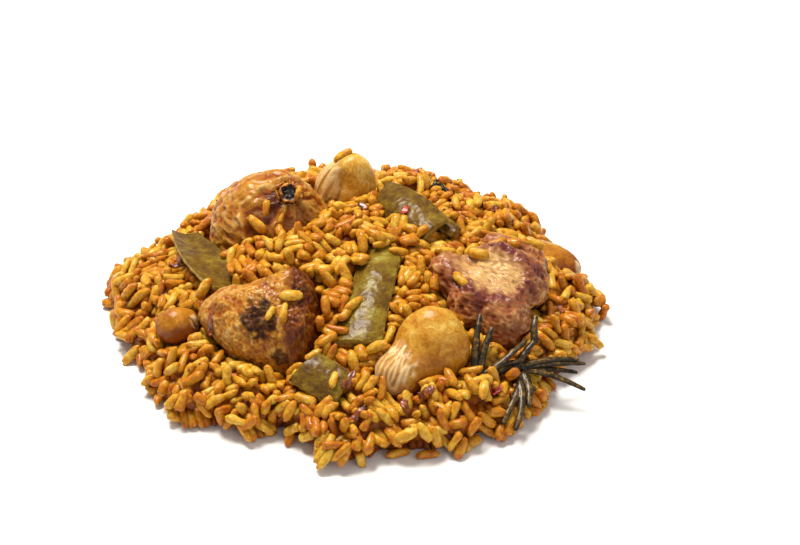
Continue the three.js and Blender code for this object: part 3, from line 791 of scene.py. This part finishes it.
def settle(i, j, axes, half, overlap):
    """Drops a grain on a column: its middle's height and its hull, or None if it hits a piece."""
    form = sum(np.outer(axis, axis) / h**2 for axis, h in zip(axes, half))
    slope = form[0, 2] * WINDOW_X + form[1, 2] * WINDOW_Y
    rest = form[0, 0] * WINDOW_X**2 + 2 * form[0, 1] * WINDOW_X * WINDOW_Y
    inner = slope**2 - form[2, 2] * (rest + form[1, 1] * WINDOW_Y**2 - 1)
    inside = inner > 0
    root = np.sqrt(np.maximum(inner, 0))
    below = (-slope - root) / form[2, 2]
    above = (-slope + root) / form[2, 2]
    window = (
        slice(i - HALF_WINDOW, i + HALF_WINDOW + 1),
        slice(j - HALF_WINDOW, j + HALF_WINDOW + 1),
    )
    height = np.max((surface_now[window] - below)[inside]) - SINK
    height = max(height, -np.min(below[inside]))
    over_base = height + above > piece_under[window] + 0.55 * overlap
    under_back = height + below < piece_top[window] - overlap
    if (over_base & under_back & inside).any():
        return None
    return height, inside, above, window


def lay(i, j, axes, half, found, tone, whole=False):
    """Keeps a settled grain, plump if it has to be whole, and raises the surface by it."""
    height, inside, above, window = found
    surface_now[window] = np.where(
        inside, np.maximum(surface_now[window], height + above), surface_now[window]
    )
    combed[window] = np.where(inside, math.atan2(axes[0][1], axes[0][0]), combed[window])
    roll = draws.uniform(0, 2 * np.pi)
    cos, sin = math.cos(roll), math.sin(roll)
    turn = np.stack(axes, axis=1) @ np.array([[1, 0, 0], [0, cos, -sin], [0, sin, cos]])
    if draws.random() < 0.5:
        turn = turn * np.array([-1, -1, 1])
    kind = "plump" if whole else kind_names[draws.choice(len(kind_names), p=kind_shares)]
    own_tone = tone + draws.uniform(-0.2, 0.2)
    laid[kind].append((np.array((side[i], side[j], height)), turn, half, own_tone))


def grain_half():
    """Half the length, width and depth of the next grain, in mm."""
    return HALF_GRAIN * draws.normal(1, 0.08, 3).clip(0.8, 1.2)


# The whole heap first, and then the pits left beside pieces. A pass is how far in mm a grain may
# sink into a piece, how deep in mm a gap is that it fills, how few open columns end it, and how
# many grains may fail to fit.
PASSES = ((0.9, 0.9, 40, 1500), (2.2, 2.4, 6, 200))
CLINGING = 0.72  # share of its width from a grain's middle to that of one that clings to it
target = wanted
for overlap, gap, fewest, patience in PASSES:
    wanted = target.copy()
    misses = 0
    while misses < patience:
        shortfall = wanted - surface_now
        open_columns = np.flatnonzero(shortfall > gap)
        if len(open_columns) < fewest:
            break
        picks = draws.choice(open_columns, size=5)
        i, j = np.unravel_index(picks[np.argmax(shortfall.ravel()[picks])], wanted.shape)
        heading = draws.uniform(0, 2 * np.pi)
        if not np.isnan(combed[i, j]) and draws.random() < 0.4:
            heading = combed[i, j] + draws.normal(0, 0.25)
        half = grain_half()
        best = None
        for pitch in draws.choice(STEEP, 3) if draws.random() < 0.25 else PITCHES:
            axes = grain_axes(heading, pitch)
            for di, dj in ((0, 0), (2, 0), (-2, 0), (0, 2), (0, -2)):
                found = settle(i + di, j + dj, axes, half, overlap)
                if found and (best is None or found[0] < best[4][0]):
                    best = (i + di, j + dj, axes, half, found)
        if best is None or best[4][0] > wanted[i, j] + 2.2:
            wanted[i, j] -= 1.0
            misses += 1
            continue
        tone = draws.random()
        lay(*best, tone)
        i, j, axes, half, found = best
        lean = math.asin(axes[0][2])
        for place in range(1, draws.integers(1, 8)):
            # neighbours that cling to this grain's side and lie the same way
            heading += draws.normal(0, 0.09)
            axes = grain_axes(heading, lean + draws.normal(0, 0.07))
            shift = axes[1] * place * GRAIN_WIDTH * CLINGING + axes[0] * draws.normal(0, 0.5)
            ii = i + int(round(shift[0] / CELL))
            jj = j + int(round(shift[1] / CELL))
            half = grain_half()
            if wanted[ii, jj] < 0:
                break
            beside = settle(ii, jj, axes, half, overlap)
            if beside is None or beside[0] > min(found[0] + 2.0, wanted[ii, jj] + 2.0):
                break
            if beside[0] < found[0] - 3:
                break
            height = np.clip(beside[0], found[0] - 0.7, found[0] + 0.5)
            lay(ii, jj, axes, half, (height, *beside[1:]), tone)

# Grains on the pieces, and a few that close pits in the rice: for each CAD node their places
# as shares of its box, with the heading in degrees and the size.
LOOSE = {
    "chicken_back": [
        (0.41, 0.1, -32, 1.0), (0.48, 0.19, 80, 0.75), (0.58, 0.15, 60, 0.5),
        (0.73, 0.29, 70, 0.6),
    ],
    "chicken_front": [
        (0.79, 0.42, 5, 1.0), (0.73, 0.26, 85, 0.85), (0.62, 0.23, 60, 0.7),
        (0.04, 0.98, 40, 1.0),
    ],
    "green_bean_front": [(0.73, 0.38, 75, 0.75)],
    "green_bean_centre": [(0.62, 0.93, -25, 1.0), (0.95, 0.86, 20, 0.9)],
    "rabbit": [
        (0.4, 0.55, -30, 1.0), (0.24, 0.3, -55, 0.9), (0.86, 0.88, -20, 1.0),
        (0.68, 0.8, -15, 1.0), (0.55, 0.78, 10, 0.9), (0.44, 0.76, 55, 0.8),
        (0.33, 0.72, -10, 1.0), (0.24, 0.7, 60, 0.9), (0.15, 0.68, 15, 1.0),
    ],
    "butter_bean_top": [(0.5, 0.55, 15, 0.9)],
    "butter_bean_front": [(0.55, 0.08, 30, 0.8), (0.8, 0.12, -60, 0.9)],
    "rice": [
        (0.738, 0.155, 20, 0.95), (0.722, 0.142, -50, 0.9), (0.742, 0.128, 80, 0.9),
        (0.605, 0.045, 10, 1.0), (0.635, 0.05, -30, 0.95),
    ],
}
LOOSE_GRAIN = 1.06  # the size of such a grain against one in the heap

# Stock and starch have run in between the grains and set, to well below their backs.
STOCK_BELOW = 2.6  # mm under the grains' backs
grain_top = -shrunk(-surface_now, 1.2)
stock_top = np.minimum(shrunk(grain_top, 1.2) - STOCK_BELOW, shrunk(grain_top, 3.6) - 1.0)
for shift, axis in product((1, 2), (0, 1)):
    both_sides = np.roll(stock_top, shift, axis) + np.roll(stock_top, -shift, axis)
    stock_top = (both_sides + 2 * stock_top) / 4
stock_top = np.where(piece_top > 0, np.minimum(stock_top, piece_under - 0.4), stock_top)

surface_now = np.maximum(surface_now, piece_top)
for node, (right, back, degrees, size) in ((n, at) for n, ats in LOOSE.items() for at in ats):
    spot = spot_in(node, right, back, 1)
    i, j = (int(round((spot[axis] + REACH) / CELL)) for axis in (0, 1))
    half = HALF_GRAIN * size * LOOSE_GRAIN
    trials = []
    for pitch in np.radians(np.arange(-50, 51, 10)):
        axes = grain_axes(math.radians(degrees), pitch)
        found = settle(i, j, axes, half, overlap=99)
        trials.append((found[0], pitch, axes, found))
    _, _, axes, found = min(trials, key=lambda trial: trial[:2])
    lay(i, j, axes, half, found, draws.uniform(0.5, 1), whole=True)

# Cooked rice: translucent and lit through, golden on a grain's back, and deep orange with painted
# shade low down between grains near the stock, with a little shine from the oil.
rice_grain = stewed_food(
    "saffron rice, cooked",
    mottle={"Scale": 1 / (2.2 * MM), "Detail": 5.0, "Roughness": 0.65},
    tint=("tone", 0.3),
    stops=[(0.36, "#a0500a"), (0.52, "#b4690c"), (0.7, "#c68b1a"), (0.9, "#d8b242")],
    cover=("shade_near_stock", "#883c0a"),
    pores={"Scale": 1 / (1.5 * MM), "Detail": 5.0, "Roughness": 0.65},
    relief={"Strength": 1.0, "Distance": 0.7 * MM},
    surface={
        "Roughness": 0.5,
        "Specular IOR Level": 0.1,
        "Subsurface Weight": 0.4,
        "Subsurface Radius": (1.0, 0.55, 0.1),
        "Subsurface Scale": 1.2 * MM,
        "Coat Weight": 0.35,
        "Coat Roughness": 0.17,
    },
)


def new_piece(name, points, faces):
    """A piece made of points in mm and faces."""
    mesh = bpy.data.meshes.new(name)
    mesh.from_pydata((points * MM).tolist(), [], faces)
    piece = bpy.data.objects.new(name, mesh)
    bpy.context.collection.objects.link(piece)
    only(piece)
    return piece


for kind, (corners, sides, along) in shapes.items():
    places, faces, tones = [], [], []
    for count, (middle, turn, half, tone_of) in enumerate(laid[kind]):
        dents = 1 + 0.18 * lumps(corners + tone_of * 90, 0.7, 5)
        places.append((corners * dents[:, None] * half) @ turn.T + middle)
        faces.append(np.where(sides < 0, -1, sides + count * len(corners)))
        patchy = 0.3 * lumps(middle[None], 14, 91)
        tones.append(tone_of + patchy + 0.3 * (0.35 - along**2))
    places = np.concatenate(places)
    places[:, 2] = np.maximum(places[:, 2], 0.02)
    faces = [[c for c in face if c >= 0] for face in np.concatenate(faces).tolist()]
    grains = new_piece("rice_grains_" + kind, places, faces)
    bpy.ops.object.shade_smooth()
    paint(grains, "tone", np.concatenate(tones))
    # Painted shade: grains low down near the stock are painted darker.
    above_stock = places[:, 2] - look_up(stock_top, places[:, 0], places[:, 1])
    paint(grains, "shade_near_stock", 0.9 * (1 - step(above_stock, -0.2, 2.6)))
    grains.data.materials.append(rice_grain)
    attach(grains, "root")

# ---- The stock between the grains ----
# Reduced saffron stock and starch: it glues the grains, fills the gaps between them in amber
# fillets, and under the outer grains it is one dark sticky mass with the rice.

SPOKES = 440
RINGS = 105
STOCK_EDGE = 2.6  # mm that the stock ends inside the outermost grains
bearings = np.linspace(0, 2 * np.pi, SPOKES, endpoint=False)
radii = np.arange(0, REACH, CELL)
stock_inside = shrunk(np.where(stock_top > 0.8, 1.0, 0.0), STOCK_EDGE)
heart_reach = []
for bearing in bearings:
    heights = look_up(stock_inside, radii * np.cos(bearing), radii * np.sin(bearing))
    heart_reach.append(radii[np.nonzero(heights > 0.5)[0].max()])
heart_reach = np.array(heart_reach)

rings = []
for share in [0.985] + list(np.linspace(1, 0.01, RINGS)):
    x = heart_reach * share * np.cos(bearings)
    y = heart_reach * share * np.sin(bearings)
    z = look_up(stock_top, x, y)
    spots = np.stack([x, y, z], axis=1)
    spots[:, 2] += 0.9 * lumps(spots, 2.3, 71)
    spots[:, 2] = 0.0 if not rings else np.maximum(spots[:, 2], 0.6)
    rings.append(spots)
corners = np.concatenate(rings + [[[0, 0, 0]], [[0, 0, look_up(stock_top, 0, 0)]]])
faces = []
for ring, spoke in product(range(len(rings) - 1), range(SPOKES)):
    a = ring * SPOKES + spoke
    b = ring * SPOKES + (spoke + 1) % SPOKES
    faces.append((a, b, b + SPOKES, a + SPOKES))
for spoke in range(SPOKES):
    after = (spoke + 1) % SPOKES
    last = (len(rings) - 1) * SPOKES
    faces.append((after, spoke, len(corners) - 2))
    faces.append((last + spoke, last + after, len(corners) - 1))
rice_heart = new_piece("rice_heart", corners, faces)
bpy.ops.object.shade_smooth()


def plain_food(name, dark, light, size, surface, blend=0.14, relief=None):
    """A material of two colours that blend in lumps of size mm, with a relief if one is given."""
    material, tree = blank_material(name)
    place = put(tree, "ShaderNodeTexCoord").outputs["Object"]
    lumpy = {"Vector": place, "Scale": 1 / (size * MM), "Detail": 4.0}
    mottle = put(tree, "ShaderNodeTexNoise", lumpy).outputs["Fac"]
    stops = [(0.5 - blend, dark), (0.5 + blend, light)]
    colour = put(tree, "ShaderNodeValToRGB", {"Fac": mottle}, stops=stops).outputs["Color"]
    shader = put(tree, "ShaderNodeBsdfPrincipled", {"Base Color": colour, **surface})
    if relief:
        bump = put(tree, "ShaderNodeBump", {"Height": mottle, **relief})
        tree.links.new(bump.outputs["Normal"], shader.inputs["Normal"])
    put(tree, "ShaderNodeOutputMaterial", {"Surface": shader.outputs[0]})
    return material


# Starch and reduced stock: amber to brown, wet, lumpy where it has run over buried grains.
sticky_rice = plain_food(
    "saffron stock, reduced",
    "#803808",
    "#b0620c",
    2.6,
    {"Roughness": 0.5, "Specular IOR Level": 0.2, "Coat Weight": 0.1},
    blend=0.15,
    relief={"Strength": 0.8, "Distance": 1.0 * MM},
)
rice_heart.data.materials.append(sticky_rice)
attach(rice_heart, "root")
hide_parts("rice")

# ---- Scraps on the rice ----
# What the stock leaves behind: flakes of red pepper, browned shreds of onion and meat, loose
# rosemary needles, and dark crumbs scraped off the pan.

resting = np.maximum(surface_now, 0)


def scrap(length, width, thickness, curl, right, back, degrees, seed, node="rice"):
    """A curled shred in mm, lying on the heap over a place given as shares of a CAD node's box."""
    bpy.ops.object.select_all(action="DESELECT")
    bpy.ops.mesh.primitive_grid_add(x_subdivisions=7, y_subdivisions=3, size=1)
    shred = bpy.context.object
    body = shred.modifiers.new("body", "SOLIDIFY")
    body.thickness = thickness / length
    body.offset = 0
    rounding = shred.modifiers.new("rounding", "SUBSURF")
    rounding.levels = rounding.render_levels = 1
    bpy.ops.object.modifier_apply(modifier=body.name)
    bpy.ops.object.modifier_apply(modifier=rounding.name)
    bpy.ops.object.shade_smooth()
    points = read(shred) * MM
    along = points[:, 0] * 2
    ragged = 1 + 0.35 * lumps(points * 6, 1.0, seed)
    points = points * (length, width, length) * np.stack([ragged, ragged, ragged * 0 + 1], axis=1)
    points[:, 1] *= 1 - 0.5 * np.abs(along) ** 2.5
    points[:, 2] += curl * (along**2 - 0.4) + 0.3 * lumps(points, 2.5, seed + 1)
    cos, sin = math.cos(math.radians(degrees)), math.sin(math.radians(degrees))
    points = points @ np.array([[cos, sin, 0], [-sin, cos, 0], [0, 0, 1]])
    spot = spot_in(node, right, back, 1)
    points[:, :2] += spot[:2]
    ground = look_up(resting, points[:, 0], points[:, 1])
    points[:, 2] += 0.5 * ground + 0.5 * np.percentile(ground, 70) + 0.2
    write(shred, points)
    return shred


def joined(name, pieces, material):
    """Makes one piece of many, with its origin at the scene's."""
    bpy.ops.object.select_all(action="DESELECT")
    for piece in pieces:
        piece.select_set(True)
    bpy.context.view_layer.objects.active = pieces[0]
    if len(pieces) > 1:
        bpy.ops.object.join()
    pieces[0].name = name
    pieces[0].data.materials.clear()
    pieces[0].data.materials.append(material)
    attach(pieces[0], "root")


OILY = {"Coat Weight": 0.3, "Coat Roughness": 0.2}

# Sweet red pepper, cooked soft: red, mottled and shiny with oil.
flakes = [
    scrap(3.6, 2.4, 0.7, 0.5, 0.4, 0.4, 60, 1, "green_bean_top"),
    scrap(4.6, 2.6, 0.8, 0.6, 0.765, 0.156, 35, 2),
    scrap(3.4, 2.0, 0.7, 0.4, 0.62, 0.88, 10, 4),
]
red_pepper = plain_food(
    "red pepper, stewed", "#8e1c0a", "#b4340f", 2.0, {"Roughness": 0.45, **OILY}
)
joined("red_pepper_flakes", flakes, red_pepper)

# Onion and meat fried until brown: thin, curled and a little glossy.
SHREDS = [
    (8.0, 2.4, 0.6, 1.2, 0.498, 0.146, 60),
    (8.5, 2.2, 0.6, 1.0, 0.511, 0.075, 35),
    (5.0, 2.6, 1.2, 0.3, 0.64, 0.125, 20),
    (4.2, 2.8, 1.3, 0.2, 0.6, 0.1, 110),
    (5.5, 2.0, 0.8, 0.6, 0.24, 0.3, 80),
    (4.8, 2.4, 0.9, 0.5, 0.16, 0.52, 20),
    (5.5, 2.2, 0.9, 0.6, 0.33, 0.87, 150),
    (4.6, 2.0, 0.9, 0.5, 0.78, 0.72, 65),
    (5.0, 2.2, 0.8, 0.5, 0.9, 0.42, 100),
    (4.4, 2.4, 0.9, 0.4, 0.52, 0.62, 130),
]
shreds = [scrap(*size, seed=10 + place) for place, size in enumerate(SHREDS)]
fried_brown = plain_food(
    "onion and meat scraps, fried brown", "#4a1f0e", "#9a4a18", 1.6, {"Roughness": 0.4, **OILY}
)
joined("browned_shreds", shreds, fried_brown)

# Rosemary needles that have come off the sprig.
NEEDLES = [
    (9.5, 1.8, 1.0, 0.6, 0.685, 0.775, 125),
    (7.0, 1.6, 0.9, 0.5, 0.66, 0.8, 70),
    (6.5, 1.5, 0.9, 0.5, 0.71, 0.82, 110),
    (6.0, 1.4, 0.9, 0.4, 0.25, 0.75, 20),
]
needles = [scrap(*size, seed=30 + place) for place, size in enumerate(NEEDLES)]
joined("loose_rosemary", needles, wilted_leaf)

# Crumbs: hard dark brown bits of crust.
CRUMBS = 32
CRUMBS_WITHIN = 76  # mm from the middle of the heap
bpy.ops.object.select_all(action="DESELECT")
bpy.ops.mesh.primitive_ico_sphere_add(subdivisions=1, radius=1)
crumb = bpy.context.object
crumb_corners = np.array([v.co for v in crumb.data.vertices], float)
crumb_faces = np.array([face.vertices for face in crumb.data.polygons])
bpy.data.objects.remove(crumb)
places, faces = [], []
while len(places) < CRUMBS:
    bearing = draws.uniform(0, 2 * np.pi)
    away = CRUMBS_WITHIN * math.sqrt(draws.random())
    spot = away * np.array((math.cos(bearing), math.sin(bearing)))
    spot = spot + draws.normal(0, 1.0, 2)
    ground = float(look_up(resting, spot[0], spot[1]))
    column = tuple(np.round((spot + REACH) / CELL).astype(int))
    if ground < 4 or piece_top[column] > 0:
        continue
    size = draws.uniform(0.25, 0.6) * draws.uniform(0.6, 1.3, 3)
    ragged = 1 + 0.3 * lumps(crumb_corners + ground, 0.8, 7)
    places.append(crumb_corners * ragged[:, None] * size + (*spot, ground + 0.1))
    faces.append(crumb_faces + (len(places) - 1) * len(crumb_corners))
crumbs = new_piece("crust_crumbs", np.concatenate(places), np.concatenate(faces).tolist())
pan_crust = plain_food("crust off the pan", "#43200e", "#7a3c16", 1.0, {"Roughness": 0.55, **OILY})
joined("crust_crumbs", [crumbs], pan_crust)
